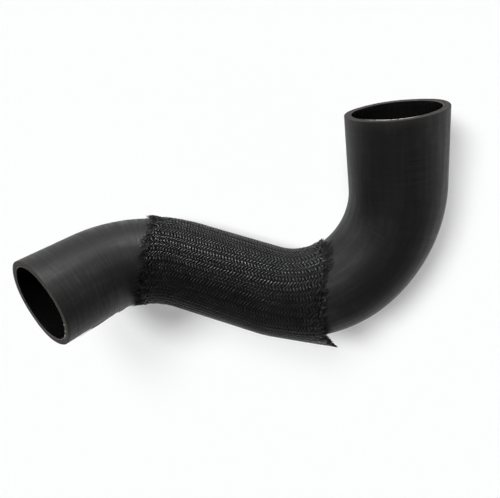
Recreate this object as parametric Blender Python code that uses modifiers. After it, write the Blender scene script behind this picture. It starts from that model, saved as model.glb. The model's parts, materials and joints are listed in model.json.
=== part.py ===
"""Intercooler pipe: a moulded rubber hose with a braided sleeve over its middle.

The hose carries boosted air from a turbocharger to its cooler. It is one moulding of constant
bore, bent first out of one plane and then round a long elbow that twists as it turns, and each
end pushes over a spigot. The sleeve is a woven tube of stiff black filament that guards the
rubber where it passes other parts. Its cut ends are frayed, and one of them stands off the hose
like a skirt.

Metres, +Z up. The pipe lies as it comes to rest on a table: the middle leg points along +X, the
long leg lies beside it and the short leg rises. The origin is at the bottom centre of its box.
"""

import math

import bmesh
import bpy
from mathutils import Matrix, Vector
from mathutils.bvhtree import BVHTree

# The hose's section
HOSE_OUTER_DIAMETER = 0.0700
HOSE_WALL = 0.0050
END_EDGE_ROUNDING = 0.0006

# The hose's route, from the open end of the short leg to the open end of the long leg
SHORT_LEG = 0.0453
BEND_RADIUS = 0.0692
BEND_DEGREES = 67.2
MIDDLE_LEG = 0.0695
ELBOW_RADIUS = 0.0757
ELBOW_FIRST_DEGREES = 60.4
ELBOW_SECOND_DEGREES = 55.0
LONG_LEG = 0.0544

# Where round the section the insides of the bend and of the elbow's second half lie, from the
# inside of the elbow's first half
BEND_SIDE_DEGREES = 124.8
ELBOW_SECOND_SIDE_DEGREES = 30.4

# The side of the middle leg that is nearest to the table when the pipe lies on it
UNDERSIDE_DEGREES = -75.0

# The sleeve's wall: a woven tube that lies close over the hose, with a ridge at each strand
SLEEVE_CLEARANCE = 0.0004
SLEEVE_WALL = 0.0009
BRAID_RIDGE = 0.0004

# Each end of the sleeve crosses the hose on a slant: its mean distance along the hose, how far
# its furthest side lies beyond that, and where round the section that side is
SLEEVE_START = 0.0810
SLEEVE_START_SLANT = 0.0165
SLEEVE_START_SIDE_DEGREES = -14.0
SLEEVE_END = 0.2485
SLEEVE_END_SLANT = 0.0155
SLEEVE_END_SIDE_DEGREES = -20.0
FRAY_LENGTH = 0.0040

# The skirt at the sleeve's second end, which stands off the hose on one side
SKIRT_LENGTH = 0.0260
SKIRT_LIFT = 0.0065
SKIRT_SIDE_DEGREES = 170.0

# How finely the surfaces are cut into faces
HOSE_SIDES = 36
BEND_STEP_DEGREES = 6.5
STRANDS_ROUND = 64
STRAND_ROWS = 54
SLEEVE_INNER_ROWS = 18
FRAY_STEP = 2.4
BALANCE_POINTS = 100
SETTLING_STEPS = 100

HOSE_BEND_RESOLUTION = HOSE_SIDES // 2 - 2
SHARP_EDGE = math.radians(40.0)
WELD_DISTANCE = 0.00001


def straight_run(length):
    """A straight part of the route, as a length, a curvature and the side it bends towards."""
    return (length, 0.0, 0.0)


def bent_run(radius, degrees, side_degrees):
    """A bend in the route. Its side says where round the section the inside of the bend lies."""
    return (radius * math.radians(degrees), 1.0 / radius, math.radians(side_degrees))


ROUTE = (
    straight_run(SHORT_LEG),
    bent_run(BEND_RADIUS, BEND_DEGREES, BEND_SIDE_DEGREES),
    straight_run(MIDDLE_LEG),
    bent_run(ELBOW_RADIUS, ELBOW_FIRST_DEGREES, 0.0),
    bent_run(ELBOW_RADIUS, ELBOW_SECOND_DEGREES, ELBOW_SECOND_SIDE_DEGREES),
    straight_run(LONG_LEG),
)
HOSE_LENGTH = sum(length for length, curvature, side in ROUTE)
MIDDLE_LEG_START = sum(length for length, curvature, side in ROUTE[:2])


def advance(distance, curvature, side):
    """The move of the section over a distance along one run, as seen from its start."""
    if curvature == 0.0:
        return Matrix.Translation((0.0, 0.0, distance))
    centre = Vector((math.cos(side), math.sin(side), 0.0)) / curvature
    axis = Vector((-math.sin(side), math.cos(side), 0.0))
    turn = Matrix.Rotation(distance * curvature, 4, axis)
    return Matrix.Translation(centre) @ turn @ Matrix.Translation(-centre)


def section(distance):
    """The hose's section at a distance along its route: Z along the hose, X to the inside of
    the elbow's first half. The bends carry the section round with them, so it never twists."""
    place = Matrix.Identity(4)
    for length, curvature, side in ROUTE:
        covered = min(distance, length)
        place = place @ advance(covered, curvature, side)
        distance -= covered
    return place


def stations():
    """Distances along the route where the hose has a ring of points."""
    marks = [0.0]
    for length, curvature, side in ROUTE:
        turn = math.degrees(length * curvature)
        steps = max(1, math.ceil(turn / BEND_STEP_DEGREES))
        start = marks[-1]
        marks += [start + length * step / steps for step in range(1, steps + 1)]
    return marks


def clear_scene():
    """Remove what the scene holds before the part is made."""
    for thing in list(bpy.data.objects):
        bpy.data.objects.remove(thing, do_unlink=True)


def make_collection(name):
    """A collection for the part's pieces."""
    collection = bpy.data.collections.new(name)
    bpy.context.scene.collection.children.link(collection)
    return collection


def make_material(name, colour, roughness):
    """A plain surface with one colour and one roughness."""
    material = bpy.data.materials.new(name)
    material.use_nodes = True
    surface = material.node_tree.nodes["Principled BSDF"]
    surface.inputs["Base Color"].default_value = (*colour, 1.0)
    surface.inputs["Roughness"].default_value = roughness
    surface.inputs["Metallic"].default_value = 0.0
    material.diffuse_color = (*colour, 1.0)
    return material


def make_hose(collection):
    """The hose: a round tube along the route, thickened inwards, with its cut ends eased."""
    marks = stations()
    curve = bpy.data.curves.new("hose", "CURVE")
    curve.dimensions = "3D"
    curve.bevel_depth = HOSE_OUTER_DIAMETER / 2
    curve.bevel_resolution = HOSE_BEND_RESOLUTION
    curve.use_fill_caps = False
    curve.render_resolution_u = 0
    spline = curve.splines.new("POLY")
    spline.points.add(len(marks) - 1)
    for point, mark in zip(spline.points, marks):
        point.co = (*section(mark).translation, 1.0)
    curve.materials.append(make_material("black_rubber", (0.020, 0.020, 0.021), 0.55))
    hose = bpy.data.objects.new("hose", curve)
    collection.objects.link(hose)

    wall = hose.modifiers.new("wall", "SOLIDIFY")
    wall.thickness = HOSE_WALL
    wall.offset = -1.0
    wall.use_even_offset = True
    edges = hose.modifiers.new("eased ends", "BEVEL")
    edges.limit_method = "ANGLE"
    edges.angle_limit = SHARP_EDGE
    edges.width = END_EDGE_ROUNDING
    edges.segments = 2
    return hose


def sleeve_start(angle):
    """Where the sleeve's first end lies along the hose, at an angle round the section."""
    side = math.radians(SLEEVE_START_SIDE_DEGREES)
    return SLEEVE_START + SLEEVE_START_SLANT * math.cos(angle - side)


def sleeve_end(angle):
    """Where the sleeve's second end lies along the hose, at an angle round the section."""
    side = math.radians(SLEEVE_END_SIDE_DEGREES)
    return SLEEVE_END + SLEEVE_END_SLANT * math.cos(angle - side)


def skirt_lift(angle, distance):
    """How far the sleeve stands off the hose near its second end."""
    facing = max(0.0, math.cos(angle - math.radians(SKIRT_SIDE_DEGREES)))
    reach = (distance - sleeve_end(angle) + SKIRT_LENGTH) / SKIRT_LENGTH
    return SKIRT_LIFT * facing * max(0.0, reach) ** 2


def fray(column):
    """How far the strand ends stand out of the sleeve at one column of its weave."""
    if column % 2 == 1:
        return 0.0
    return FRAY_LENGTH * (0.6 + 0.4 * math.sin(FRAY_STEP * column))


def sleeve_wall(mesh, rows, height, ridge):
    """One wall of the sleeve, wrapped round the hose from a flat grid.

    The grid's corners are strand crossings and pits by turns, as on a chessboard. The
    crossings stand higher by the ridge, and joining them makes the diagonal strands.
    """
    made = bmesh.ops.create_grid(mesh, x_segments=STRANDS_ROUND, y_segments=rows, size=0.5)
    crossings = []
    for vert in made["verts"]:
        column = round((vert.co.x + 0.5) * STRANDS_ROUND) % STRANDS_ROUND
        row = round((vert.co.y + 0.5) * rows)
        angle = math.tau * column / STRANDS_ROUND
        start = sleeve_start(angle) - fray(column)
        end = sleeve_end(angle) + fray(column)
        distance = start + (end - start) * row / rows
        radius = HOSE_OUTER_DIAMETER / 2 + SLEEVE_CLEARANCE + height
        radius += skirt_lift(angle, distance)
        if (column + row) % 2 == 0:
            crossings.append(vert)
        else:
            radius -= ridge
        around = Vector((radius * math.cos(angle), radius * math.sin(angle), 0.0))
        vert.co = section(distance) @ around
    if ridge > 0.0:
        bmesh.ops.connect_verts(mesh, verts=crossings)
    bmesh.ops.remove_doubles(mesh, verts=mesh.verts, dist=WELD_DISTANCE)


def make_sleeve(collection):
    """The braided sleeve: a fine outer wall and a plain inner wall, joined at both ends."""
    mesh = bmesh.new()
    sleeve_wall(mesh, STRAND_ROWS, SLEEVE_WALL, BRAID_RIDGE)
    sleeve_wall(mesh, SLEEVE_INNER_ROWS, 0.0, 0.0)
    middle = section((SLEEVE_START + SLEEVE_END) / 2)
    open_edges = [edge for edge in mesh.edges if edge.is_boundary]
    for end in (True, False):
        rims = [edge for edge in open_edges if is_before(edge, middle) == end]
        bmesh.ops.bridge_loops(mesh, edges=rims)
    bmesh.ops.recalc_face_normals(mesh, faces=mesh.faces)
    data = bpy.data.meshes.new("braided_sleeve")
    mesh.to_mesh(data)
    mesh.free()
    data.shade_smooth()
    data.set_sharp_from_angle(angle=SHARP_EDGE)
    data.materials.append(make_material("black_braid", (0.012, 0.012, 0.013), 0.45))
    sleeve = bpy.data.objects.new("braided_sleeve", data)
    collection.objects.link(sleeve)
    return sleeve


def is_before(edge, place):
    """Whether an edge lies before a section of the hose."""
    local = place.inverted() @ edge.verts[0].co
    return local.z < 0.0


def surface_points(pieces):
    """Every point of the finished pieces, in the frame that they share."""
    view = bpy.context.evaluated_depsgraph_get()
    points = []
    for piece in pieces:
        shape = piece.evaluated_get(view)
        points += [vert.co.copy() for vert in shape.to_mesh().vertices]
        shape.to_mesh_clear()
    return points


def settled_down(points):
    """The direction that faces down once the part rests on a face of its hull.

    A thing that is put down tips onto the face under its centre of mass, and again from
    there, until the face that it lies on is the one under its centre of mass.
    """
    steps = range(BALANCE_POINTS)
    marks = [HOSE_LENGTH * (step + 0.5) / BALANCE_POINTS for step in steps]
    balance = sum((section(mark).translation for mark in marks), Vector()) / BALANCE_POINTS
    underside = math.radians(UNDERSIDE_DEGREES)
    down = Vector((math.cos(underside), math.sin(underside), 0.0))
    down = section(MIDDLE_LEG_START).to_3x3() @ down

    hull = bmesh.new()
    for point in points:
        hull.verts.new(point)
    bmesh.ops.convex_hull(hull, input=hull.verts)
    inside = [vert for vert in hull.verts if not vert.link_faces]
    bmesh.ops.delete(hull, geom=inside, context="VERTS")
    bmesh.ops.recalc_face_normals(hull, faces=hull.faces)
    tree = BVHTree.FromBMesh(hull)
    hull.free()
    for step in range(SETTLING_STEPS):
        spot, normal, face, distance = tree.ray_cast(balance, down)
        down = normal
    return down


def lay_down(pieces, collection):
    """Lay the pieces on the table as they come to rest, with the middle leg along +X."""
    frame = bpy.data.objects.new("lying_frame", None)
    collection.objects.link(frame)
    for piece in pieces:
        piece.parent = frame
    points = surface_points(pieces)
    up = -settled_down(points)
    along = section(MIDDLE_LEG_START).to_3x3() @ Vector((0.0, 0.0, 1.0))
    along = (along - along.project(up)).normalized()
    turn = Matrix((along, up.cross(along), up))
    turned = [turn @ point for point in points]
    low = [min(point[axis] for point in turned) for axis in range(3)]
    high = [max(point[axis] for point in turned) for axis in range(3)]
    origin = Vector(((low[0] + high[0]) / 2, (low[1] + high[1]) / 2, low[2]))
    frame.matrix_world = Matrix.Translation(-origin) @ turn.to_4x4()


def main():
    """Build the whole part."""
    clear_scene()
    collection = make_collection("intercooler_pipe")
    pieces = [make_hose(collection), make_sleeve(collection)]
    lay_down(pieces, collection)


main()
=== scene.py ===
# %% [markdown]
# # Looks of an intercooler pipe
#
# The object is a moulded rubber hose that carries boosted air, with a braided sleeve over its
# middle. This lesson dresses its imported solids: it models the hose again with finer faces, weaves
# the sleeve out of real strands, frays its two ends, and gives rubber and filament a finish that
# comes from nodes. Everything is in metres, in the frame of the imported part.
#
# First the imported part is loaded.

# %% Load the imported part
import json
import math

import bmesh
import bpy
import numpy as np
from mathutils import Matrix, Vector


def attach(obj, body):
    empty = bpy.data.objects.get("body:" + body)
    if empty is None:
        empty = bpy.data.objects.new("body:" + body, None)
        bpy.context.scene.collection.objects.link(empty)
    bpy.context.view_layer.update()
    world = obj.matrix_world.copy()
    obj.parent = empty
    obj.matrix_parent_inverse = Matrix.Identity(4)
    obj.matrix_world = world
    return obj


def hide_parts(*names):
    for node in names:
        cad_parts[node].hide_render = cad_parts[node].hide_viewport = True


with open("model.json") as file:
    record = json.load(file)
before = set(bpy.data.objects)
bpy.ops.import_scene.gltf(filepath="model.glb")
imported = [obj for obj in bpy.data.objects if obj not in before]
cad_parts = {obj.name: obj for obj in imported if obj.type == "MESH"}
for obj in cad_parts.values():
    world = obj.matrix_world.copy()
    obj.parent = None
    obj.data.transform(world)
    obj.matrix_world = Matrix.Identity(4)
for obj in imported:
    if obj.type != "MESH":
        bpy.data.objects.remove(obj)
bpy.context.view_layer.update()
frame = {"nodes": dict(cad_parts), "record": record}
print("packed pieces:", sorted(frame["nodes"]))

# %% [markdown]
# ## The route of the hose
#
# The hose follows six runs: straight, bend, straight, the two halves of a long elbow, straight.
# A run is its length, its curvature, and the side of the section that its bend turns towards.
# These are the sizes that the solid was made with. Every other piece lies on this route too, so
# one function does all the bending: it takes flat numbers, which are an angle round the hose, a
# distance along it and a radius, and gives points in the room. Whole arrays go through it at
# once, which is what makes thousands of strands quick.

# %% Route and sizes
HOSE_RADIUS = 0.0350
HOSE_WALL = 0.0050
BEND_RADIUS = 0.0692
BEND_SIDE = math.radians(124.8)
ELBOW_RADIUS = 0.0757
ELBOW_SECOND_SIDE = math.radians(30.4)
ROUTE = (
    (0.0453, 0.0, 0.0),
    (BEND_RADIUS * math.radians(67.2), 1 / BEND_RADIUS, BEND_SIDE),
    (0.0695, 0.0, 0.0),
    (ELBOW_RADIUS * math.radians(60.4), 1 / ELBOW_RADIUS, 0.0),
    (ELBOW_RADIUS * math.radians(55.0), 1 / ELBOW_RADIUS, ELBOW_SECOND_SIDE),
    (0.0544, 0.0, 0.0),
)
HOSE_LENGTH = sum(length for length, curvature, side in ROUTE)
print("length along the middle in mm:", round(1000 * HOSE_LENGTH, 1))


# %% Places of the runs
def end_of_run(length, curvature, side):
    """The place of a run's end, as seen from its start."""
    if curvature == 0.0:
        return Matrix.Translation((0.0, 0.0, length))
    centre = Vector((math.cos(side), math.sin(side), 0.0)) / curvature
    axis = Vector((-math.sin(side), math.cos(side), 0.0))
    turn = Matrix.Rotation(length * curvature, 4, axis)
    return Matrix.Translation(centre) @ turn @ Matrix.Translation(-centre)


run_starts = [Matrix.Identity(4)]
for run in ROUTE:
    run_starts.append(run_starts[-1] @ end_of_run(*run))
route_end = run_starts.pop()
straight_mm = round(1000 * route_end.translation.length, 1)
print("runs:", len(run_starts), "and the ends are", straight_mm, "mm apart")

# %% [markdown]
# The route begins at the origin of its own frame, so it still has to be laid where the packed
# hose lies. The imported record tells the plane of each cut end. The corners of the solid in that
# plane form a ring, and the middle of the ring is where the route ends. Two ends and one
# direction fix the place of a rigid thing.


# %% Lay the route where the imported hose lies
RING_DEPTH = 0.00003
ROUNDING_DIGITS = 6


def ring_centre(name):
    """The middle of the flat cut end that a mount of the record names."""
    mount = next(m for m in frame["record"]["mounts"] if m["name"] == name)
    corners = np.array([tuple(v.co) for v in frame["nodes"]["hose"].data.vertices])
    height = (corners - np.array(mount["pos_m"])) @ np.array(mount["axis"])
    ring = corners[np.abs(height) < RING_DEPTH]
    ring = np.unique(np.round(ring, ROUNDING_DIGITS), axis=0)
    return Vector(ring.mean(axis=0)), Vector(mount["axis"])


def directions(start, end, outward):
    """Three square directions: along the line between the ends, and two across it."""
    along = (end - start).normalized()
    across = along.cross(outward).normalized()
    return Matrix((along, across.cross(along), across)).transposed()


start, start_outward = ring_centre("short_leg_end")
end = ring_centre("long_leg_end")[0]
route_directions = directions(Vector(), route_end.translation, Vector((0.0, 0.0, -1.0)))
turn = directions(start, end, start_outward) @ route_directions.transposed()
laid = Matrix.Translation(start) @ turn.to_4x4()
run_starts = [np.array(laid @ place) for place in run_starts]
miss = (laid @ route_end.translation - end).length
print("the route's end misses the packed hose's end by", round(1e6 * miss), "micrometres")


# %% From flat numbers to points in the room
def bent(x, y, distance, curvature, side):
    """Points of the section after a distance along one run, seen from the run's start."""
    if curvature == 0.0:
        return np.stack((x, y, distance), axis=-1)
    inward = x * math.cos(side) + y * math.sin(side)
    across = y * math.cos(side) - x * math.sin(side)
    swing = 1.0 / curvature - inward
    inward = 1.0 / curvature - swing * np.cos(distance * curvature)
    return np.stack(
        (
            inward * math.cos(side) - across * math.sin(side),
            inward * math.sin(side) + across * math.cos(side),
            swing * np.sin(distance * curvature),
        ),
        axis=-1,
    )


def wrapped(angle, distance, radius):
    """Points round the hose, from arrays of angle, distance along it and radius."""
    x = radius * np.cos(angle)
    y = radius * np.sin(angle)
    points = np.zeros((len(x), 3))
    passed = 0.0
    for number, (length, curvature, side) in enumerate(ROUTE):
        here = np.ones(len(x), dtype=bool)
        if number > 0:
            here &= distance >= passed
        if number < len(ROUTE) - 1:
            here &= distance < passed + length
        local = bent(x[here], y[here], distance[here] - passed, curvature, side)
        place = run_starts[number]
        points[here] = local @ place[:3, :3].T + place[:3, 3]
        passed += length
    return points


# %% [markdown]
# ## Flat grids
#
# The hose, a strand and a single filament are all closed skins round a path, so each starts as
# the same flat grid. Its x goes round the section and its y goes along the path, both from 0 to
# 1. An Array modifier stacks the copies that a weave needs, one above another, so z counts them.
# The grid's UV map is made with it, and stays true across the seam, because a UV belongs to a
# face's corner. Once the points are in place, the seam is merged and the faces are turned
# outwards.


# %% Grid helpers
SEAM_GAP = 0.000002
UV_NAME = "surface"


def flat_grids(name, columns, rows, copies):
    """Copies of a flat grid as one object: x and y run from 0 to 1, and z counts the copies."""
    mesh = bmesh.new()
    mesh.loops.layers.uv.new(UV_NAME)
    bmesh.ops.create_grid(mesh, x_segments=columns, y_segments=rows, size=0.5, calc_uvs=True)
    bmesh.ops.translate(mesh, verts=mesh.verts, vec=(0.5, 0.5, 0.0))
    data = bpy.data.meshes.new(name)
    mesh.to_mesh(data)
    mesh.free()
    piece = bpy.data.objects.new(name, data)
    bpy.context.scene.collection.objects.link(piece)
    stack = piece.modifiers.new("copies", "ARRAY")
    stack.count = copies
    stack.use_relative_offset = False
    stack.use_constant_offset = True
    stack.constant_offset_displace = (0.0, 0.0, 1.0)
    view = bpy.context.evaluated_depsgraph_get()
    piece.data = bpy.data.meshes.new_from_object(piece.evaluated_get(view))
    piece.data.name = name
    piece.modifiers.clear()
    return piece


def flat_numbers(piece):
    """The grid's x, y and copy number at every point."""
    numbers = np.zeros(3 * len(piece.data.vertices), dtype=np.float32)
    piece.data.vertices.foreach_get("co", numbers)
    x, y, copy = numbers.reshape(-1, 3).T.astype(float)
    return x, y, np.rint(copy).astype(int)


def shape(piece, points):
    """Move the grid's points to their places, merge the seams and face the skin outwards."""
    piece.data.vertices.foreach_set("co", points.astype(np.float32).ravel())
    mesh = bmesh.new()
    mesh.from_mesh(piece.data)
    bmesh.ops.remove_doubles(mesh, verts=mesh.verts, dist=SEAM_GAP)
    bmesh.ops.recalc_face_normals(mesh, faces=mesh.faces)
    for face in mesh.faces:
        face.smooth = True
    mesh.to_mesh(piece.data)
    mesh.free()
    piece.data.update()
    print(piece.name, "has", len(piece.data.polygons), "faces")


def add_number(piece, name, values):
    """Keep one number for each point, for a material to read."""
    attribute = piece.data.attributes.new(name, "FLOAT", "POINT")
    attribute.data.foreach_set("value", values.astype(np.float32))


# %% [markdown]
# ## The hose
#
# A hose like this is built up of rubber and fabric on a bent former, wrapped tight in tape, cured,
# and cut to length. So its section is a plain ring, but the cut ends tell how it was made: their
# edges are eased, the cut wanders a little, and a fine groove shows between the inner liner and
# the cover. The section's outline is walked once round the wall, out along the cover and back
# through the bore, and turned about the route.

# %% Outline of the wall
HOSE_COLUMNS = 144
EDGE_EASE = 0.0006
BORE_RADIUS = HOSE_RADIUS - HOSE_WALL
COVER_STEPS = 200
BORE_STEPS = 110
CUT_STEPS = 24
EASE_STEPS = 4
LINER_GROOVE = 0.00025
LINER_THICKNESS = 0.0013
GROOVE_WIDTH = 0.00028

ease = np.linspace(0.0, math.pi / 2, EASE_STEPS + 1)
cut_radius = np.linspace(HOSE_RADIUS - EDGE_EASE, BORE_RADIUS + EDGE_EASE, CUT_STEPS)
from_liner = (cut_radius - BORE_RADIUS - LINER_THICKNESS) / GROOVE_WIDTH
cut_depth = LINER_GROOVE * np.exp(-(from_liner**2))
end_distance = np.concatenate(
    (EDGE_EASE * (1 - np.sin(ease)), cut_depth[1:-1], EDGE_EASE * (1 - np.cos(ease)))
)
end_radius = np.concatenate(
    (
        HOSE_RADIUS - EDGE_EASE * (1 - np.cos(ease)),
        cut_radius[1:-1],
        BORE_RADIUS + EDGE_EASE * (1 - np.sin(ease)),
    )
)
cover = np.linspace(EDGE_EASE, HOSE_LENGTH - EDGE_EASE, COVER_STEPS)[1:-1]
bore = np.linspace(HOSE_LENGTH - EDGE_EASE, EDGE_EASE, BORE_STEPS)[1:-1]
outline_distance = np.concatenate(
    (cover, HOSE_LENGTH - end_distance, bore, end_distance[::-1], cover[:1])
)
outline_radius = np.concatenate(
    (
        np.full(len(cover), HOSE_RADIUS),
        end_radius,
        np.full(len(bore), BORE_RADIUS),
        end_radius[::-1],
        [HOSE_RADIUS],
    )
)
print("the wall's outline has", len(outline_distance), "points")

# %% The hose's skin
CUT_WANDER = 0.00018
CUT_WANDER_REACH = 0.008
CUT_WAVES = ((1.0, 2, 0.7), (0.5, 5, 2.0))
CUT_SHARE = 0.9
EDGE_SHARE = 0.1

outline_steps = np.linspace(0.0, 1.0, len(outline_distance))
hose = flat_grids("hose_rubber_skin", HOSE_COLUMNS, len(outline_distance) - 1, 1)
x, y = flat_numbers(hose)[:2]
angle = math.tau * np.mod(x, 1.0)
distance = np.interp(y, outline_steps, outline_distance)
radius = np.interp(y, outline_steps, outline_radius)
wander = CUT_WANDER * sum(
    share * np.sin(turns * angle + phase) for share, turns, phase in CUT_WAVES
)
near_start = np.clip(1 - distance / CUT_WANDER_REACH, 0, 1) ** 2
near_end = np.clip(1 - (HOSE_LENGTH - distance) / CUT_WANDER_REACH, 0, 1) ** 2
add_number(hose, "depth", (HOSE_RADIUS - radius) / HOSE_WALL)
at_cut = np.minimum(distance, HOSE_LENGTH - distance) < CUT_SHARE * EDGE_EASE
inside_edges = (radius < HOSE_RADIUS - EDGE_SHARE * EDGE_EASE) & (radius > BORE_RADIUS)
add_number(hose, "cut", (at_cut & inside_edges).astype(float))
shape(hose, wrapped(angle, distance + wander * (near_end - near_start), radius))

# %% [markdown]
# The grid's map counts rows, and the rows aren't evenly spaced. So its second number is changed to
# the share of the hose's length, which lets a material speak of millimetres. Then the imported
# hose is hidden, and the piece is attached to the body that it rides on.

# %% The hose's map and its place in the part
surface_map = hose.data.uv_layers[UV_NAME].uv
flat = np.zeros(2 * len(surface_map), dtype=np.float32)
surface_map.foreach_get("vector", flat)
flat = flat.reshape(-1, 2)
flat[:, 1] = np.interp(flat[:, 1], outline_steps, outline_distance) / HOSE_LENGTH
surface_map.foreach_set("vector", flat.ravel())

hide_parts("hose")
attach(hose, "root")

# %% [markdown]
# ## The weave of the sleeve
#
# The sleeve is a tube braided from two sets of flat strands that wind round the hose in opposite
# ways. Each strand goes over two and under two, and the places where one set is on top line up
# along the hose, which gives the rows of bright dashes. That makes the height of a strand a plain
# wave in the angle round the hose, with the two sets in opposite phase, so no strand has to be
# told about its neighbours. A picture of a weave would look flat at the edges of the hose. Real
# strands catch the light one by one, and they end as real strands do.

# %% Sizes of the weave
STRANDS = 64
STRAND_PITCH = math.tau / STRANDS
ROW_SPACING = 0.00248
WIND = STRAND_PITCH / ROW_SPACING
WEAVE_RADIUS = HOSE_RADIUS + 0.00080
WEAVE_WAVE = 0.00042
STRAND_HALF_WIDTH = 0.00068
STRAND_HALF_THICKNESS = 0.00028
LEAN = math.atan(WEAVE_RADIUS * WIND)

SLEEVE_START = (0.0810, 0.0165, math.radians(-14.0))
SLEEVE_END = (0.2485, 0.0155, math.radians(-20.0))
SLEEVE_MIDDLE = (SLEEVE_START[0] + SLEEVE_END[0]) / 2
SKIRT_LENGTH = 0.0260
SKIRT_LIFT = 0.0065
SKIRT_SIDE = math.radians(170.0)
SKIRT_NARROWING = 1.5
ROUNDS_TO_SETTLE = 60
print("strands lean", round(math.degrees(LEAN), 1), "degrees from the hose's length")


# %% Shape of the sleeve
def slanted(edge, angle):
    """Where an end of the sleeve crosses the hose: its mean place, its slant and its side."""
    mean, slant, side = edge
    return mean + slant * np.cos(angle - side)


def bump(angle, side_degrees, width_degrees):
    """1 at a side of the hose, falling off to 0 over a width on both hands."""
    away = np.mod(angle - math.radians(side_degrees) + math.pi, math.tau) - math.pi
    return np.exp(-((away / math.radians(width_degrees)) ** 2))


def bumps(angle, table):
    """A sum of bumps, each with its height, its side and its width in degrees."""
    return sum(height * bump(angle, side, width) for height, side, width in table)


def skirt(angle, distance):
    """How far the sleeve stands off the hose near its end by the elbow."""
    facing = np.maximum(0.0, np.cos(angle - SKIRT_SIDE)) ** SKIRT_NARROWING
    reach = (distance - slanted(SLEEVE_END, angle) + SKIRT_LENGTH) / SKIRT_LENGTH
    return SKIRT_LIFT * facing * np.maximum(0.0, reach) ** 2


def strand_angle(strand, way, distance):
    """Where a strand is round the hose. Its way is 1 or -1, for the two sets."""
    return strand * STRAND_PITCH + way * WIND * (distance - SLEEVE_MIDDLE)


def strand_end(strand, way, line):
    """Where a strand meets a line round the hose, which depends on its own angle there."""
    distance = np.full(len(strand), SLEEVE_MIDDLE)
    for _ in range(ROUNDS_TO_SETTLE):
        distance = line(strand_angle(strand, way, distance))
    return distance


# %% [markdown]
# A bend is shorter on its inside than on its outside, but the weave doesn't shrink and stretch to
# suit: its rows keep their spacing on the skin, and fewer of them fit on the inside. So rows are
# counted along the skin, and one function turns that count into a place along the hose's middle
# line, and another turns it back. A third function lifts the points that would lie below the
# table: the pipe rests partly on its sleeve, and its strands are pressed flat there.

# %% Rows of the weave in the bends
PRESSED = 0.00012
JOIN_BY_BEND = ROUTE[0][0] + ROUTE[1][0]
JOIN_BY_ELBOW = JOIN_BY_BEND + ROUTE[2][0]


def skin_scales(angle):
    """Length of the skin per length of the middle line, in the bend and in the elbow."""
    by_bend = 1 - WEAVE_RADIUS / BEND_RADIUS * np.cos(angle - BEND_SIDE)
    by_elbow = 1 - WEAVE_RADIUS / ELBOW_RADIUS * np.cos(angle)
    return by_bend, by_elbow


def placed(angle, row):
    """Place along the middle line of a row that is counted along the skin."""
    by_bend, by_elbow = skin_scales(angle)
    before = np.minimum(0.0, row - JOIN_BY_BEND) / by_bend
    after = np.maximum(0.0, row - JOIN_BY_ELBOW) / by_elbow
    return np.clip(row, JOIN_BY_BEND, JOIN_BY_ELBOW) + before + after


def counted(angle, place):
    """Count along the skin of a place along the middle line."""
    by_bend, by_elbow = skin_scales(angle)
    before = np.minimum(0.0, place - JOIN_BY_BEND) * by_bend
    after = np.maximum(0.0, place - JOIN_BY_ELBOW) * by_elbow
    return np.clip(place, JOIN_BY_BEND, JOIN_BY_ELBOW) + before + after


def rested(points):
    """Points of the sleeve, pressed flat where the pipe lies on it."""
    points = np.array(points)
    points[:, 2] = PRESSED * np.logaddexp(0.0, points[:, 2] / PRESSED)
    return points


inner_skin, outer_skin = (skin_scales(BEND_SIDE + turned)[0] for turned in (0.0, math.pi))
print("skin per middle line in the bend:", round(inner_skin, 2), "to", round(outer_skin, 2))


# %% [markdown]
# Each end of the sleeve has two lines: the tips of its filaments, and some millimetres further in
# the last crossing of its strands. The tips follow the slanted cut, but hang back on the inside of
# the bend and reach out in a tuft over the elbow. The weave itself was pushed about when the
# sleeve was drawn on, so its rows are neither straight nor even, and it is loose near both ends.


# %% Where the two ends lie
TIPS_PAST_START = 0.0030
DRAWN_BACK = ((0.0120, 185, 42), (-0.0040, 110, 15))
FRINGE_BY_BEND = 0.0072
TIPS_PAST_END = 0.0025
TUFTS = ((0.0104, 46, 19), (0.0022, 15, 14), (0.0045, 168, 24), (-0.0070, 215, 30))
FRINGE_BY_ELBOW = 0.0045
FRINGE_CHANGES = ((0.0068, 46, 22), (-0.0036, 175, 50))


def tips_by_bend(angle):
    """The count where the filaments end by the bend."""
    tips = slanted(SLEEVE_START, angle) - TIPS_PAST_START + bumps(angle, DRAWN_BACK)
    return counted(angle, tips)


def woven_by_bend(angle):
    """The count where the weave ends by the bend."""
    return tips_by_bend(angle) + FRINGE_BY_BEND


def cut_by_elbow(angle):
    """The place of the filaments' tips by the elbow, with the long tuft on the upper side."""
    return slanted(SLEEVE_END, angle) + TIPS_PAST_END + bumps(angle, TUFTS)


def tips_by_elbow(angle):
    """The count where the filaments end by the elbow."""
    return counted(angle, cut_by_elbow(angle))


def woven_by_elbow(angle):
    """The count where the weave ends by the elbow, close to the tips at the skirt's corner."""
    fringe = FRINGE_BY_ELBOW + bumps(angle, FRINGE_CHANGES)
    return counted(angle, cut_by_elbow(angle) - fringe)


# %% How loose the weave is, and how it was pulled
LOOSE_BY_BEND = 0.014
LOOSE_BY_ELBOW = 0.009
HELD_FIRM = ((0.8, 172, 50),)
SIDEWAYS_PULLS = ((0.0011, 3, 31, 0.0), (0.0006, 8, -57, 1.0), (0.0003, 19, 23, 2.2))
ALONG_PULLS = ((0.0012, 2, 44, 2.0),)


def looseness(angle, distance):
    """How loose the weave is: 1 at its two ends, falling off inwards."""
    from_bend = np.maximum(0.0, distance - woven_by_bend(angle))
    from_elbow = np.maximum(0.0, woven_by_elbow(angle) - distance)
    free = 1 - bumps(angle, HELD_FIRM)
    return np.exp(-from_bend / LOOSE_BY_BEND) + free * np.exp(-from_elbow / LOOSE_BY_ELBOW)


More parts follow.
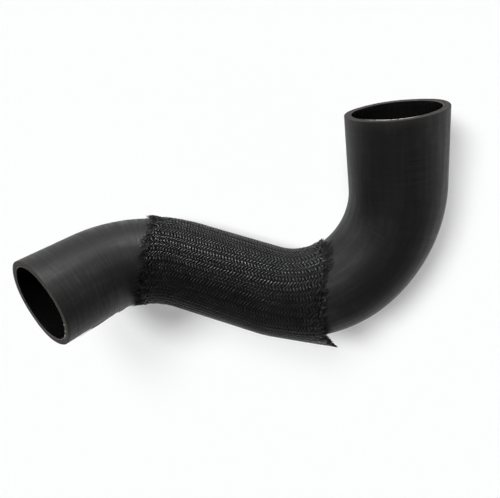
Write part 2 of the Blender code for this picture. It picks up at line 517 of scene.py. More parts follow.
def swayed(angle, distance, pulls):
    """A sum of waves, each with its size, its waves round and along, and its phase."""
    return sum(
        size * np.sin(round_waves * angle + along_waves * distance + phase)
        for size, round_waves, along_waves, phase in pulls
    )


def pulled(angle, distance):
    """Angle and distance of a point of the weave after the weave is pushed about."""
    sideways = swayed(angle, distance, SIDEWAYS_PULLS)
    along = swayed(angle, distance, ALONG_PULLS)
    return angle + sideways / WEAVE_RADIUS, placed(angle, distance + along)


# %% [markdown]
# A strand is a ribbon with a rounded section. Its points are worked out flat: how far along the
# strand, how far across it, how high in the weave. Small seeded errors keep the weave from
# looking printed: strands differ a little in width and wander a little from their line. Each
# point also keeps some numbers for the material: whether the strand is on top there, and how
# much its row shines, since some rows lie prouder than others. Along the skirt's lip the strands
# are spread wide. On one side by the bend the strands count as less on top, which is painted
# shade: their colour is painted darker and their coat is thinner, so they shine less.

# %% Sizes of a strand
RIBBON_SIDES = 6
RIBBON_STEPS = 240
END_STRAY = 0.0008
WIDTH_STRAY = 0.09
LINE_STRAY = 0.00008
LOOSE_STRAY = 0.00052
LINE_WAVES = 23
LIFT_SHARE = 0.6
LIFT_WAVES = 1.7
LIP_SPREAD = 0.55
LIP_REACH = 0.014
LIP_SIDE = 172
LIP_WIDTH = 55
SWELL = 0.25
SWELL_TURNS = 5
SWELL_PHASE = 2.0
BEND_SHADE = 0.6
BEND_SHADE_SIDE = 188
BEND_SHADE_WIDTH = 50
BEND_SHADE_REACH = 0.03
LEAST_CLEARANCE = 0.00005
CLOSED_SHARE = 0.0001
print("a strand is", 2000 * STRAND_HALF_WIDTH, "by", 2000 * STRAND_HALF_THICKNESS, "mm")


# %% The two sets of strands
def row_numbers(angle, way):
    """The row of dashes that each point of a strand belongs to."""
    crest = 0.75 + 0.5 * way
    return np.floor((angle / STRAND_PITCH - crest) / 2).astype(int) % (STRANDS // 2)


def woven_set(name, way, seed):
    """One set of strands, all winding the same way round the hose."""
    chance = np.random.default_rng(seed)
    strand = np.arange(STRANDS)
    first = strand_end(strand, way, woven_by_bend) + chance.normal(0.0, END_STRAY, STRANDS)
    last = strand_end(strand, way, woven_by_elbow) + chance.normal(0.0, END_STRAY, STRANDS)
    breadth = 1 + WIDTH_STRAY * chance.uniform(-1, 1, STRANDS)
    row_shines = chance.uniform(0, 1, STRANDS // 2)
    wander_phase = chance.uniform(0, math.tau, STRANDS)

    ribbons = flat_grids(name, RIBBON_SIDES, RIBBON_STEPS, STRANDS)
    x, y, copy = flat_numbers(ribbons)
    turn = math.tau * np.mod(x, 1.0)
    closing = ((y > CLOSED_SHARE) & (y < 1 - CLOSED_SHARE)).astype(float)
    distance = first[copy] + (last - first)[copy] * y
    angle = strand_angle(copy, way, distance)
    loose = looseness(angle, distance)
    wander = np.sin(LINE_WAVES * math.tau * y + wander_phase[copy])
    across = (LINE_STRAY + LOOSE_STRAY * loose) * wander
    near_lip = np.exp(-np.maximum(0.0, woven_by_elbow(angle) - distance) / LIP_REACH)
    flattened = 1 + LIP_SPREAD * near_lip * bump(angle, LIP_SIDE, LIP_WIDTH)
    across += STRAND_HALF_WIDTH * flattened * breadth[copy] * closing * np.cos(turn)
    weave = way * np.cos(math.pi * angle / STRAND_PITCH - math.pi / 4)
    row = row_numbers(angle, way)
    height = WEAVE_WAVE * weave * (1 + SWELL * np.sin(SWELL_TURNS * angle + SWELL_PHASE))
    height += STRAND_HALF_THICKNESS * closing * np.sin(turn)
    lift = LIFT_SHARE + np.cos(LIFT_WAVES * LINE_WAVES * y + wander_phase[copy])
    height += LOOSE_STRAY * loose * lift
    angle = angle + across * math.cos(LEAN) / WEAVE_RADIUS
    distance = distance - way * across * math.sin(LEAN)
    angle, distance = pulled(angle, distance)
    radius = WEAVE_RADIUS + height + skirt(angle, distance)
    radius = np.maximum(radius, HOSE_RADIUS + LEAST_CLEARANCE)
    # Painted shade by the bend: counting the strands as less on top there darkens their colour and
    # thins their coat.
    near_join = np.exp(-np.abs(distance - JOIN_BY_BEND) / BEND_SHADE_REACH)
    bend_shade = BEND_SHADE * bump(angle, BEND_SHADE_SIDE, BEND_SHADE_WIDTH) * near_join
    add_number(ribbons, "tone", chance.uniform(0, 1, STRANDS)[copy])
    add_number(ribbons, "on_top", 0.5 + 0.5 * weave - bend_shade)
    add_number(ribbons, "bundled", np.ones(len(x)))
    add_number(ribbons, "row_shine", row_shines[row])
    shape(ribbons, rested(wrapped(angle, distance, radius)))
    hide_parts("braided_sleeve")
    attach(ribbons, "root")
    return ribbons


strands_forward = woven_set("sleeve_strands_forward", 1, 11)
strands_backward = woven_set("sleeve_strands_backward", -1, 12)

# %% [markdown]
# ## The frayed ends
#
# The sleeve was cut with shears and never bound, so past the last crossing each strand opens into
# its filaments. They keep the crimp of the weave, lean as their strand did, and straighten out as
# they go. At the end by the bend they are short and curly. At the elbow they form a brush, with
# one long tuft on the side that faces up. Each filament is a thin skin round an arc of its own,
# and all of them come out of one stack of grids. The pairs of numbers are ranges: every bundle, or
# every filament, draws its own value from them.

# %% Sizes of the fray
FILAMENT_SIDES = 4
FILAMENT_STEPS = 12
FILAMENTS = 13
FILAMENT_RADIUS = 0.00017
FILAMENT_ROOT = 0.0025
MEAN_ADVANCE = 0.78
CURL_ROOM = 0.0007
CURL_SHARE = 0.6
SHORT_REACH = 0.004
REACHES = (0.65, 1.12)
LENGTHS = (0.72, 1.15)
LEANS = (0.85, 1.0)
CRIMPS = (0.5, 1.3)
LIFTS = (-0.2, 1.0)
FANS = (0.9, 2.6)
LIT = (0.45, 1.0)
POINTED = 0.5
STRAIGHTENING = 0.8
LEAN_STRAY = 0.2
LEAST_CHANGE = 0.01
PHASE_STRAY = 0.5
HEIGHT_STRAY = 1.5 * FILAMENT_RADIUS
FAN_WIDTH = 0.9
FAN_CLOSING = 0.3
LIFT_POWER = 1.5
CLEAR_HEIGHT = HOSE_RADIUS + 1.2 * FILAMENT_RADIUS - WEAVE_RADIUS
print("filaments at each end:", 2 * STRANDS * FILAMENTS)


# %% Filaments
def frayed(name, woven, tips, rise, outward, seed, crimp, crimp_length, splay):
    """Filaments from where the weave ends to the tips. Outward is 1 or -1 along the hose."""
    chance = np.random.default_rng(seed)
    bundles = 2 * STRANDS
    bundle = np.arange(bundles * FILAMENTS) // FILAMENTS
    place = (np.arange(bundles * FILAMENTS) % FILAMENTS + 0.5) / FILAMENTS - 0.5
    count = len(bundle)
    way = np.where(bundle < STRANDS, 1, -1)
    strand = bundle % STRANDS
    root = strand_end(strand, way, woven)
    root_angle = strand_angle(strand, way, root)
    reach = np.abs(tips(root_angle) - root) / MEAN_ADVANCE
    reach = reach * chance.uniform(*REACHES, bundles)[bundle]
    pointed = 1 - POINTED * (2 * place) ** 2
    length = FILAMENT_ROOT + reach * pointed * chance.uniform(*LENGTHS, count)
    lean_start = way * outward * LEAN * chance.uniform(*LEANS, bundles)[bundle]
    lean_change = splay * chance.normal(0.0, 1.0, bundles)[bundle]
    lean_change = lean_change * np.minimum(1, reach / SHORT_REACH) - STRAIGHTENING * lean_start
    lean_change = lean_change + LEAN_STRAY * chance.normal(0.0, 1.0, count) + LEAST_CHANGE
    crimp_phase = chance.uniform(0, math.tau, bundles)[bundle]
    crimp_phase = crimp_phase + chance.normal(0.0, PHASE_STRAY, count)
    crimp_size = crimp * chance.uniform(*CRIMPS, bundles)[bundle]
    lift = rise(root_angle) * chance.uniform(*LIFTS, bundles)[bundle]
    curl = CURL_SHARE * crimp_size * np.minimum(1, rise(root_angle) / CURL_ROOM)
    fan = chance.uniform(*FANS, bundles)[bundle] * place * STRAND_HALF_WIDTH

    threads = flat_grids(name, FILAMENT_SIDES, FILAMENT_STEPS, count)
    x, y, copy = flat_numbers(threads)
    turn = math.tau * np.mod(x, 1.0)
    thick = FILAMENT_RADIUS * np.sqrt(np.clip(1 - y**3, 0, 1)) * (y > CLOSED_SHARE)
    lean = lean_start[copy] + lean_change[copy] * y
    forward = length[copy] * (np.sin(lean) - np.sin(lean_start)[copy]) / lean_change[copy]
    sideways = length[copy] * (np.cos(lean_start)[copy] - np.cos(lean)) / lean_change[copy]
    wave = math.tau * y * length[copy] / crimp_length + crimp_phase[copy]
    sideways += crimp_size[copy] * np.sin(wave) * np.minimum(1, 2 * y)
    sideways += fan[copy] * (FAN_WIDTH - FAN_CLOSING * y)
    height = lift[copy] * y**LIFT_POWER + curl[copy] * (1 + np.cos(wave)) * y
    height += HEIGHT_STRAY * chance.normal(0.0, 1.0, count)[copy]
    distance = root[copy] + outward * (forward - FILAMENT_ROOT)
    angle = root_angle[copy] + (sideways + thick * np.cos(turn)) / WEAVE_RADIUS
    angle, distance = pulled(angle, distance)
    height = np.maximum(height, CLEAR_HEIGHT)
    radius = WEAVE_RADIUS + height + thick * np.sin(turn) + skirt(angle, distance)
    add_number(threads, "tone", chance.uniform(0, 1, count)[copy])
    add_number(threads, "on_top", chance.uniform(*LIT, count)[copy])
    add_number(threads, "bundled", np.zeros(len(x)))
    add_number(threads, "row_shine", np.full(len(x), 0.5))
    shape(threads, rested(wrapped(angle, distance, radius)))
    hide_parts("braided_sleeve")
    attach(threads, "root")
    return threads


# %% The fray by the bend
RISE_BY_BEND = 0.0007
RISES_BY_BEND = ((0.0018, -5, 35), (-0.0006, 195, 60))


def rise_by_bend(angle):
    """Rise of the curly ends, which stand up where the bend's outside pushes them."""
    return RISE_BY_BEND + bumps(angle, RISES_BY_BEND)


fray_by_bend = frayed(
    "sleeve_fray_by_bend",
    woven_by_bend,
    tips_by_bend,
    rise_by_bend,
    outward=-1,
    seed=21,
    crimp=0.00062,
    crimp_length=0.0025,
    splay=0.75,
)

# %% The fray by the elbow
RISE_BY_ELBOW = 0.0008
RISES_BY_ELBOW = ((0.0014, 30, 30),)


def rise_by_elbow(angle):
    """Rise of the brush, which stands off most where its tuft is."""
    return RISE_BY_ELBOW + bumps(angle, RISES_BY_ELBOW)


fray_by_elbow = frayed(
    "sleeve_fray_by_elbow",
    woven_by_elbow,
    tips_by_elbow,
    rise_by_elbow,
    outward=1,
    seed=22,
    crimp=0.00018,
    crimp_length=0.0042,
    splay=0.35,
)

# %% [markdown]
# ## Materials out of expressions
#
# A node tree is easier to read as sums. A wire stands for one output of a node, and arithmetic on
# wires adds Math nodes. Every other node comes from one method, which sets the node's own
# settings first and then fills its sockets with values or wires.


# %% Wires and finishes
class Wire:
    """One output of a node, on which arithmetic adds Math nodes."""

    def __init__(self, finish, socket):
        self.finish = finish
        self.socket = socket

    def maths(self, operation, first, second):
        """A Math node of two inputs, as a new wire."""
        return self.finish.node("ShaderNodeMath", {"operation": operation}, {0: first, 1: second})

    def __add__(self, other):
        return self.maths("ADD", self, other)

    def __radd__(self, other):
        return self.maths("ADD", other, self)

    def __sub__(self, other):
        return self.maths("SUBTRACT", self, other)

    def __rsub__(self, other):
        return self.maths("SUBTRACT", other, self)

    def __mul__(self, other):
        return self.maths("MULTIPLY", self, other)

    def __rmul__(self, other):
        return self.maths("MULTIPLY", other, self)


class Finish:
    """A material under construction. Its surface is the Principled shader."""

    def __init__(self, name):
        self.material = bpy.data.materials.new(name)
        self.material.use_nodes = True
        self.tree = self.material.node_tree
        self.surface = self.tree.nodes["Principled BSDF"]

    def feed(self, socket, value):
        """Link a wire to a socket, or set the socket to a value."""
        if isinstance(value, Wire):
            self.tree.links.new(value.socket, socket)
        else:
            socket.default_value = value

    def node(self, kind, settings, inputs, output=0):
        """Any node, with its settings and its inputs, as the wire of one of its outputs."""
        made = self.tree.nodes.new(kind)
        for name, value in settings.items():
            setattr(made, name, value)
        for name, value in inputs.items():
            self.feed(made.inputs[name], value)
        return Wire(self, made.outputs[output])

    def set_surface(self, inputs):
        """Fill the sockets of the Principled shader."""
        for name, value in inputs.items():
            self.feed(self.surface.inputs[name], value)

    def number(self, name):
        """One of the numbers that the mesh keeps for each point."""
        return self.node("ShaderNodeAttribute", {"attribute_name": name}, {}, "Fac")

    def mapped(self, axis):
        """A coordinate of the surface map: X goes round the section, Y along the path."""
        surface_map = self.node("ShaderNodeUVMap", {"uv_map": UV_NAME}, {})
        return self.node("ShaderNodeSeparateXYZ", {}, {"Vector": surface_map}, axis)

    def function(self, operation, value):
        """A Math node with one input, such as a sine."""
        return self.node("ShaderNodeMath", {"operation": operation}, {0: value})

    def noise(self, scale, detail=2.0, roughness=0.5):
        """Cloudy noise on the object's own coordinates."""
        place = self.node("ShaderNodeTexCoord", {}, {}, "Object")
        inputs = {"Vector": place, "Scale": scale, "Detail": detail, "Roughness": roughness}
        return self.node("ShaderNodeTexNoise", {}, inputs)

    def band(self, value, low, high):
        """A smooth step: 0 below low, 1 above high."""
        settings = {"interpolation_type": "SMOOTHSTEP"}
        inputs = {"Value": value, "From Min": low, "From Max": high}
        return self.node("ShaderNodeMapRange", settings, inputs)

    def window(self, value, low, full, still_full, high):
        """1 between full and still_full, falling off to 0 at low and at high."""
        return self.band(value, low, full) * (1 - self.band(value, still_full, high))

    def mixed(self, factor, first, second):
        """A colour between two colours. Sockets 6 and 7 are the Mix node's two colours."""
        inputs = {0: factor, 6: first, 7: second}
        return self.node("ShaderNodeMix", {"data_type": "RGBA"}, inputs, 2)

    def raised(self, height, depth, normal=None):
        """A bump of that height pattern, whose full height is the depth in metres."""
        inputs = {"Height": height, "Distance": depth, "Strength": 1.0}
        if normal is not None:
            inputs["Normal"] = normal
        return self.node("ShaderNodeBump", {}, inputs)


# %% [markdown]
# ## Rubber
#
# Cured rubber is nearly black, and what one sees of it is its sheen. The tape that it was wrapped
# in leaves faint lines across the hose and a print of its cloth. Handling leaves cloudy patches
# that are a little duller, wiped streaks that are a little shinier, and a few scuffs. The streaks
# run across the short leg and along the long one. On the short leg the cover is mixed less towards
# the paler colour, so it is darker there. The bore and a few small nicks are painted darker than
# the cover, as painted shade. The cut ends are paler and browner, with a dark line where the liner
# starts, flecks of cut fabric and some crumbs at the short leg's mouth. A pale ring along the
# bore's edge is a painted highlight, and at the long leg's mouth a pale thread of cut fabric is
# also a painted highlight along the inner edge. All of it is one material: masks from the outline's
# own numbers choose the place, and noise breaks it up.

# %% Rubber, colours and masks
RUBBER = (0.0065, 0.0065, 0.0066, 1.0)
RUBBER_DUSTY = (0.0200, 0.0199, 0.0196, 1.0)
# The bore's black is painted shade, and so is the dark in the nicks.
PAINTED_SHADE_BLACK = (0.0034, 0.0034, 0.0034, 1.0)
CUT_BROWN = (0.034, 0.031, 0.028, 1.0)
CUT_PALE = (0.120, 0.114, 0.105, 1.0)
CUT_DARK = (0.010, 0.0095, 0.009, 1.0)
FIBRE = (0.60, 0.58, 0.54, 1.0)
LENGTH_MM = 1000 * HOSE_LENGTH
ROUND_MM = 1000 * math.tau * HOSE_RADIUS

rubber = Finish("moulded_rubber")
round_mm = rubber.mapped("X") * ROUND_MM
along_mm = rubber.mapped("Y") * LENGTH_MM
depth = rubber.number("depth")
cut = rubber.number("cut")
in_bore = rubber.band(depth, 0.90, 0.97) * (1 - cut)
clouds = rubber.noise(22.0, 4.0, 0.6)
patches = rubber.band(clouds, 0.42, 0.68)
grain = rubber.noise(1500.0, 2.0, 0.6)
print("the hose's map in mm:", round(ROUND_MM, 1), "round by", round(LENGTH_MM, 1), "along")

# %% Rubber, the print of the wrapping tape
TAPE_LINES_PER_MM = 0.62
TAPE_DRIFT = 2.4
CLOTH_THREADS_ROUND = 300
CLOTH_THREADS_PER_MM = 1.35

drift = rubber.noise(14.0, 1.0)
line_settings = {"noise_dimensions": "1D"}
line_place = along_mm * TAPE_LINES_PER_MM + drift * TAPE_DRIFT
line_inputs = {"W": line_place, "Scale": 1.0, "Detail": 2.0}
tape_lines = rubber.node("ShaderNodeTexNoise", line_settings, line_inputs)
line_fade = rubber.band(rubber.noise(30.0, 2.0), 0.44, 0.72)
lines = rubber.band(tape_lines, 0.42, 0.66) * line_fade
weft = rubber.function("SINE", round_mm * (math.tau * CLOTH_THREADS_ROUND / ROUND_MM))
warp = rubber.function("SINE", along_mm * (math.tau * CLOTH_THREADS_PER_MM))
cloth_print = weft * warp * 0.5 + 0.5
print("cloth threads round the hose:", CLOTH_THREADS_ROUND)

# %% Rubber, wiped streaks
SHORT_LEG_FADE_MM = (90.0, 200.0)


def brushed(per_mm_along, per_mm_round, seed):
    """Noise stretched along or round the hose, as a hand or a cloth wipes it."""
    inputs = {"X": along_mm * per_mm_along, "Y": round_mm * per_mm_round, "Z": seed}
    place = rubber.node("ShaderNodeCombineXYZ", {}, inputs)
    inputs = {"Vector": place, "Scale": 1.0, "Detail": 3.0, "Roughness": 0.6}
    return rubber.node("ShaderNodeTexNoise", {}, inputs)


wiped_across = rubber.band(brushed(0.55, 0.035, 3.0), 0.36, 0.68)
wiped_along = rubber.band(brushed(0.022, 0.26, 8.0), 0.40, 0.70)
by_short_leg = 1 - rubber.band(along_mm, *SHORT_LEG_FADE_MM)
wiped = wiped_across * (0.25 + 0.75 * by_short_leg) + wiped_along * (0.7 - 0.2 * by_short_leg)
wiped = wiped * (0.45 + 0.55 * rubber.band(clouds, 0.35, 0.62))
print("nodes so far:", len(rubber.tree.nodes))

# %% [markdown]
# A scuff is a thin pale line, so it is drawn as a distance: how far a point of the surface is
# from a short slanted line on the hose's own map, where the unit is a millimetre. A nick is the
# same with a point instead of a line.


# %% Rubber, scuffs and nicks
SCUFF_START_MM = 2.0
SCUFF_END_MM = 6.0
SCUFFS = (
    (40.0, 66.0, 316.0, -0.30, 0.30, 1.0),
    (70.0, 92.0, 27.0, 0.22, 0.22, 0.6),
    (128.0, 160.0, 331.0, 0.45, 0.30, 1.0),
)
NICKS = ((22.0, 290.0, 0.9), (48.0, 372.0, 0.8), (57.0, 34.0, 0.6))


def scuff(start_mm, end_mm, along_at_mm, slant, width_mm, strength):
    """A thin line round the hose from one place to another, drifting along it by its slant."""
    from_line = along_mm - (round_mm - start_mm) * slant - along_at_mm
    away = rubber.function("ABSOLUTE", from_line)
    ends = (start_mm, start_mm + SCUFF_START_MM, end_mm - SCUFF_END_MM, end_mm)
    inside = rubber.window(round_mm, *ends) * (1 - rubber.band(away, 0.0, width_mm))
    return inside * strength


def nick(round_at_mm, along_at_mm, size_mm):
    """A small pit at one spot."""
    across = round_mm - round_at_mm
    along = along_mm - along_at_mm
    squared = across * across + along * along
    return 1 - rubber.band(squared, 0.0, size_mm * size_mm)


scuffs = sum(scuff(*numbers) for numbers in SCUFFS)
nicks = sum(nick(*numbers) for numbers in NICKS)
print("scuffs:", len(SCUFFS), "and nicks:", len(NICKS))

# %% Rubber, the cover and the bore
NEAR_CUT_MM = (0.5, 7.0)

# On the short leg the cover is mixed less towards the paler colour, so the short leg is darker.
paler_share = (patches * 0.35 + lines * 0.25 + wiped * 0.55) * (1.12 - 0.26 * by_short_leg)
cover_colour = rubber.mixed(paler_share, RUBBER, RUBBER_DUSTY)
from_start = rubber.band(along_mm, *NEAR_CUT_MM)
from_end = rubber.band(LENGTH_MM - along_mm, *NEAR_CUT_MM)
near_cut = 1 - from_start * from_end
cover_colour = rubber.mixed(near_cut * (0.10 + clouds * 0.35), cover_colour, CUT_BROWN)
cover_colour = rubber.mixed(scuffs * 0.35, cover_colour, CUT_BROWN)
# Painted shade: the nicks and the bore are mixed towards black.
cover_colour = rubber.mixed(nicks * 0.8, cover_colour, PAINTED_SHADE_BLACK)
cover_colour = rubber.mixed(in_bore, cover_colour, PAINTED_SHADE_BLACK)
print("nodes so far:", len(rubber.tree.nodes))

# %% [markdown]
# The cut ends have their own colours. Depth runs from 0 at the cover to 1 at the bore, so a window
# of depth is a ring of the cut. A window of millimetres round the hose makes an arc of it.

# %% Rubber, the cut ends
LINER_EDGE = (0.66, 0.73, 0.76, 0.82)
# The second window of depth is a painted highlight along the bore's edge.
BORE_EDGE_HIGHLIGHT = (0.80, 0.86, 0.97, 1.00)
THREAD_HIGHLIGHT_ARC_MM = (30.0, 46.0, 62.0, 76.0)
THREAD_HIGHLIGHT_DEPTH = (0.62, 0.74)
CRUMBS_ARC_MM = (66.0, 74.0, 88.0, 98.0)
CRUMBS_DEPTH = (0.55, 0.70)
MOUTH_MM = (2.0, 3.0)

liner_edge = rubber.window(depth, *LINER_EDGE)
bore_edge_highlight = rubber.window(depth, *BORE_EDGE_HIGHLIGHT)
flecks = rubber.band(rubber.noise(900.0, 3.0, 0.7), 0.60, 0.72)
cut_colour = rubber.mixed(flecks * 0.6, CUT_BROWN, CUT_PALE)
# Painted highlight: a pale ring along the bore's edge.
cut_colour = rubber.mixed(bore_edge_highlight * 0.55, cut_colour, CUT_PALE)
cut_colour = rubber.mixed(liner_edge, cut_colour, CUT_DARK)
at_long_mouth = 1 - rubber.band(LENGTH_MM - along_mm, *MOUTH_MM)
# Pale cut fabric at the long leg's mouth, which is also a painted highlight along its inner edge.
thread_and_highlight = rubber.window(round_mm, *THREAD_HIGHLIGHT_ARC_MM) * rubber.band(depth, *THREAD_HIGHLIGHT_DEPTH)
thread_and_highlight = thread_and_highlight * rubber.band(rubber.noise(420.0, 2.0), 0.30, 0.46) * at_long_mouth
cut_colour = rubber.mixed(thread_and_highlight * 0.9, cut_colour, FIBRE)
at_short_mouth = 1 - rubber.band(along_mm, *MOUTH_MM)
crumbs = rubber.window(round_mm, *CRUMBS_ARC_MM) * rubber.band(depth, *CRUMBS_DEPTH)
crumbs = crumbs * rubber.band(rubber.noise(520.0, 2.0), 0.50, 0.60) * at_short_mouth
cut_colour = rubber.mixed(crumbs * 0.55, cut_colour, FIBRE)
print("nodes so far:", len(rubber.tree.nodes))

# %% Rubber, relief and sheen
PRINT_HEIGHT = 0.000012
GRAIN_HEIGHT = 0.000050
DENT_DEPTH = 0.00012

print_bump = rubber.raised(cloth_print * (0.35 + 0.65 * clouds), PRINT_HEIGHT)
grain_bump = rubber.raised(grain + lines * 0.7 + flecks * cut, GRAIN_HEIGHT, print_bump)
dent_bump = rubber.raised(1 - nicks - scuffs * 0.4, DENT_DEPTH, grain_bump)
rubber.set_surface(
    {
        "Base Color": rubber.mixed(cut, cover_colour, cut_colour),
        "Roughness": 0.54 + patches * 0.05 - wiped * 0.21 - in_bore * 0.24 + cut * 0.3,
        "Specular IOR Level": 0.275,
        "Normal": dent_bump,
    }
)
hose.data.materials.clear()
hose.data.materials.append(rubber.material)
print("rubber has", len(rubber.tree.nodes), "nodes")

# %% [markdown]
# ## Filament
#
# The strands are bundles of stiff plastic filament, side by side. Each filament is a fine glossy
# rod, so a strand is ridged along its length and glints where its ridges face a light. The ridges
# are a wave round the ribbon's own section, which its UV map gives. A clear coat on the crests
# gives the glint: a strand shines where it lies on top and is dull where it dives, and that turns
# into rows of bright dashes. The colour is painted as well: paler on the crests, as a painted
# highlight, and darker where a strand dives and in the grooves between its filaments, as painted
# shade. Strands differ a little in tone, and lint sits in the weave. Loose filaments have no
# ridges.

# %% Filament, numbers of a strand
FILAMENT_BLACK = (0.0050, 0.0051, 0.0053, 1.0)
FILAMENT_GREY = (0.0235, 0.0236, 0.0240, 1.0)
# The deepest colour is painted shade, for where a strand dives and for the grooves between
# filaments.
FILAMENT_PAINTED_SHADE = (0.0012, 0.0012, 0.0012, 1.0)
LINT = (0.050, 0.048, 0.045, 1.0)
RIDGES_ROUND_STRAND = 10
RIDGE_HEIGHT = 0.00005

filament = Finish("braided_filament")
tone = filament.number("tone")
on_top = filament.number("on_top")
row_shine = filament.number("row_shine")
ridge_angle = filament.mapped("X") * (math.tau * RIDGES_ROUND_STRAND)
ridges = filament.function("COSINE", ridge_angle) * 0.5 + 0.5
ridges = 1 - (1 - ridges) * filament.number("bundled")
clouds = filament.noise(60.0, 3.0, 0.6)
lint = filament.band(filament.noise(700.0, 3.0, 0.7), 0.66, 0.76)
# Painted shade where a strand dives under the other set; the same mask also makes it rougher.
dive_shade = 1 - filament.band(on_top, 0.20, 0.70)
crest = filament.band(on_top, 0.42, 0.92)
print("nodes so far:", len(filament.tree.nodes))

# %% Filament, colour and glint
# Painted highlight: the crests are painted paler than the dives, on top of the strands' own tone.
paler = (tone * 0.55 + clouds * 0.45) * (crest * 0.8 + 0.2)
strand_colour = filament.mixed(paler, FILAMENT_BLACK, FILAMENT_GREY)
# Painted shade: the grooves between filaments and the dives are mixed towards the deepest colour.
strand_colour = filament.mixed((1 - ridges) * 0.35 + dive_shade * 0.65, strand_colour, FILAMENT_PAINTED_SHADE)
strand_colour = filament.mixed(lint * 0.35, strand_colour, LINT)
filament.set_surface(
    {
        "Base Color": strand_colour,
        "Roughness": 0.32 + clouds * 0.08 + dive_shade * 0.45,
        "Specular IOR Level": 0.10,
        "Coat Weight": crest * (0.35 + 0.65 * ridges) * (0.3 + 0.25 * tone + 0.65 * row_shine),
        "Coat Roughness": 0.22,
        "Coat IOR": 1.6,
        "Normal": filament.raised(ridges, RIDGE_HEIGHT),
    }
)
for piece in (strands_forward, strands_backward, fray_by_bend, fray_by_elbow):
    piece.data.materials.clear()
    piece.data.materials.append(filament.material)
print("filament has", len(filament.tree.nodes), "nodes")

# %% [markdown]
# ## Table, light and camera
#
# The pipe lies on a pale table. For the camera, and for what mirrors it, the table is partly its
# own light, so that its open parts are just under white and its shadow stays soft and grey. The
# room is dim, and a little brighter low down, which keeps black rubber black where it faces the
# camera. Two soft lamps give the shadow: a strong one from the left and a weak one from beyond
# the pipe. Mirrors don't see them. The sheen comes from seven small soft boxes, which light no
# matt surface. Each was placed for one part of the picture: the upper edges, the crests of the
# weave, the two sides, and the underside.

# %% Table
TABLE_SIZE = 6.0
TABLE_WHITE = (0.92, 0.925, 0.93, 1.0)
GLOW_WHITE = (1.0, 1.0, 1.0, 1.0)
SELF_LIT_SHARE = 0.36

mesh = bmesh.new()
bmesh.ops.create_grid(mesh, x_segments=1, y_segments=1, size=TABLE_SIZE / 2)
table_data = bpy.data.meshes.new("table")
mesh.to_mesh(table_data)
mesh.free()
table = bpy.data.objects.new("table", table_data)
bpy.context.scene.collection.objects.link(table)

# %% The table's own light
pale = Finish("pale_table")
seeing_rays = ("Is Camera Ray", "Is Glossy Ray", "Is Transmission Ray")
seen = sum(pale.node("ShaderNodeLightPath", {}, {}, name) for name in seeing_rays)
glow = pale.node("ShaderNodeEmission", {}, {"Color": GLOW_WHITE, "Strength": 1.0})
matt = pale.node("ShaderNodeBsdfDiffuse", {}, {"Color": TABLE_WHITE})
blend = pale.node("ShaderNodeMixShader", {}, {0: seen * SELF_LIT_SHARE, 1: matt, 2: glow})
pale.feed(pale.tree.nodes["Material Output"].inputs["Surface"], blend)
table.data.materials.append(pale.material)
print("the table's own light is", SELF_LIT_SHARE, "of what the camera sees of it")

# %% Room
ROOM_LEVELS = ((0.0, 0.16), (0.15, 0.08), (0.35, 0.04), (0.75, 0.02))

room = bpy.data.worlds.new("studio")
bpy.context.scene.world = room
room.use_nodes = True
nodes = room.node_tree.nodes
links = room.node_tree.links
direction = nodes.new("ShaderNodeTexCoord")
split = nodes.new("ShaderNodeSeparateXYZ")
height = nodes.new("ShaderNodeValToRGB")
height.color_ramp.interpolation = "EASE"
while len(height.color_ramp.elements) < len(ROOM_LEVELS):
    height.color_ramp.elements.new(0.5)
for element, (position, level) in zip(height.color_ramp.elements, ROOM_LEVELS):
    element.position = position
    element.color = (level, level, level, 1.0)
links.new(direction.outputs["Generated"], split.inputs["Vector"])
links.new(split.outputs["Z"], height.inputs["Fac"])
links.new(height.outputs["Color"], nodes["Background"].inputs["Color"])
print("the room's brightness, level to overhead:", [level for position, level in ROOM_LEVELS])


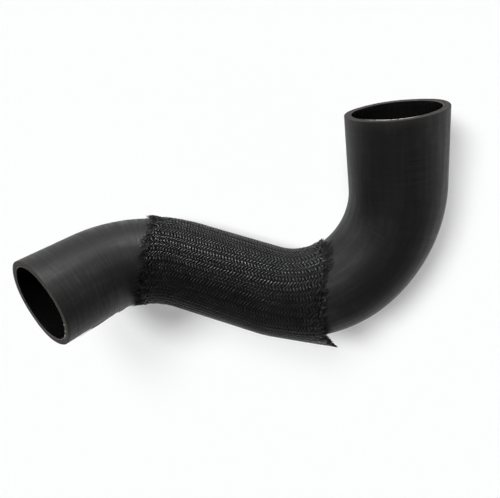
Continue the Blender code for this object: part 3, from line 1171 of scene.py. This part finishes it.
# %% Lamps
TARGET = Vector((0.0, 0.0, 0.04))
LAMP_DISTANCE = 1.5
BOX_DISTANCE = 0.9
SHADOW_LAMPS = (
    ("left_lamp", (-0.60, 0.29, 1.00), 2.85, 19.0),
    ("upper_lamp", (-0.38, 0.80, 1.00), 1.15, 20.0),
)
SHEEN_BOXES = (
    ("back_box", (-0.25, 0.95, 0.25), 0.40, 0.14, 6.6),
    ("glint_box", (0.50, 0.80, 0.45), 0.12, 0.10, 1.45),
    ("high_box", (-0.33, 0.40, 0.86), 0.18, 0.12, 1.95),
    ("left_box", (-0.95, 0.20, 0.35), 0.20, 0.16, 1.3),
    ("corner_box", (-0.65, 0.72, 0.35), 0.20, 0.16, 1.1),
    ("low_box", (0.20, -0.70, 0.70), 0.25, 0.18, 0.35),
    ("right_box", (0.95, 0.20, 0.35), 0.40, 0.30, 0.5),
)


def aim(thing, direction, distance):
    """Put a lamp at a distance in a direction from the pipe, facing the pipe."""
    direction = Vector(direction).normalized()
    turn = direction.to_track_quat("Z", "Y").to_matrix().to_4x4()
    thing.matrix_world = Matrix.Translation(TARGET + direction * distance) @ turn


def lamp_object(lamp, direction, distance):
    """A lamp in the scene, facing the pipe."""
    thing = bpy.data.objects.new(lamp.name, lamp)
    bpy.context.scene.collection.objects.link(thing)
    aim(thing, direction, distance)
    return thing


for name, direction, strength, softness in SHADOW_LAMPS:
    lamp = bpy.data.lights.new(name, "SUN")
    lamp.energy = strength
    lamp.angle = math.radians(softness)
    lamp_object(lamp, direction, LAMP_DISTANCE).visible_glossy = False
for name, direction, width, height, power in SHEEN_BOXES:
    lamp = bpy.data.lights.new(name, "AREA")
    lamp.shape = "RECTANGLE"
    lamp.size = width
    lamp.size_y = height
    lamp.energy = power
    lamp_object(lamp, direction, BOX_DISTANCE).visible_diffuse = False
print("lamps:", len(SHADOW_LAMPS), "for the shadow and", len(SHEEN_BOXES), "for the sheen")

# %% Camera
CAMERA_PLACE = (0.04114, 0.09248, 0.38282)
CAMERA_FORWARD = Vector((-0.07074, -0.32240, -0.94396))
CAMERA_UP = Vector((-0.25553, 0.92061, -0.29528))
CAMERA_LENS_MM = 32.4

lens = bpy.data.cameras.new("camera")
lens.lens = CAMERA_LENS_MM
camera = bpy.data.objects.new("camera", lens)
bpy.context.scene.collection.objects.link(camera)
right = CAMERA_FORWARD.cross(CAMERA_UP).normalized()
up = right.cross(CAMERA_FORWARD).normalized()
turn = Matrix((right, up, -CAMERA_FORWARD)).transposed().to_4x4()
camera.matrix_world = Matrix.Translation(CAMERA_PLACE) @ turn
bpy.context.scene.camera = camera
bpy.context.scene.view_settings.view_transform = "Standard"
looking_down = round(math.degrees(math.asin(-CAMERA_FORWARD.normalized().z)))
print("the camera looks down at", looking_down, "degrees, from", CAMERA_PLACE[2], "m up")
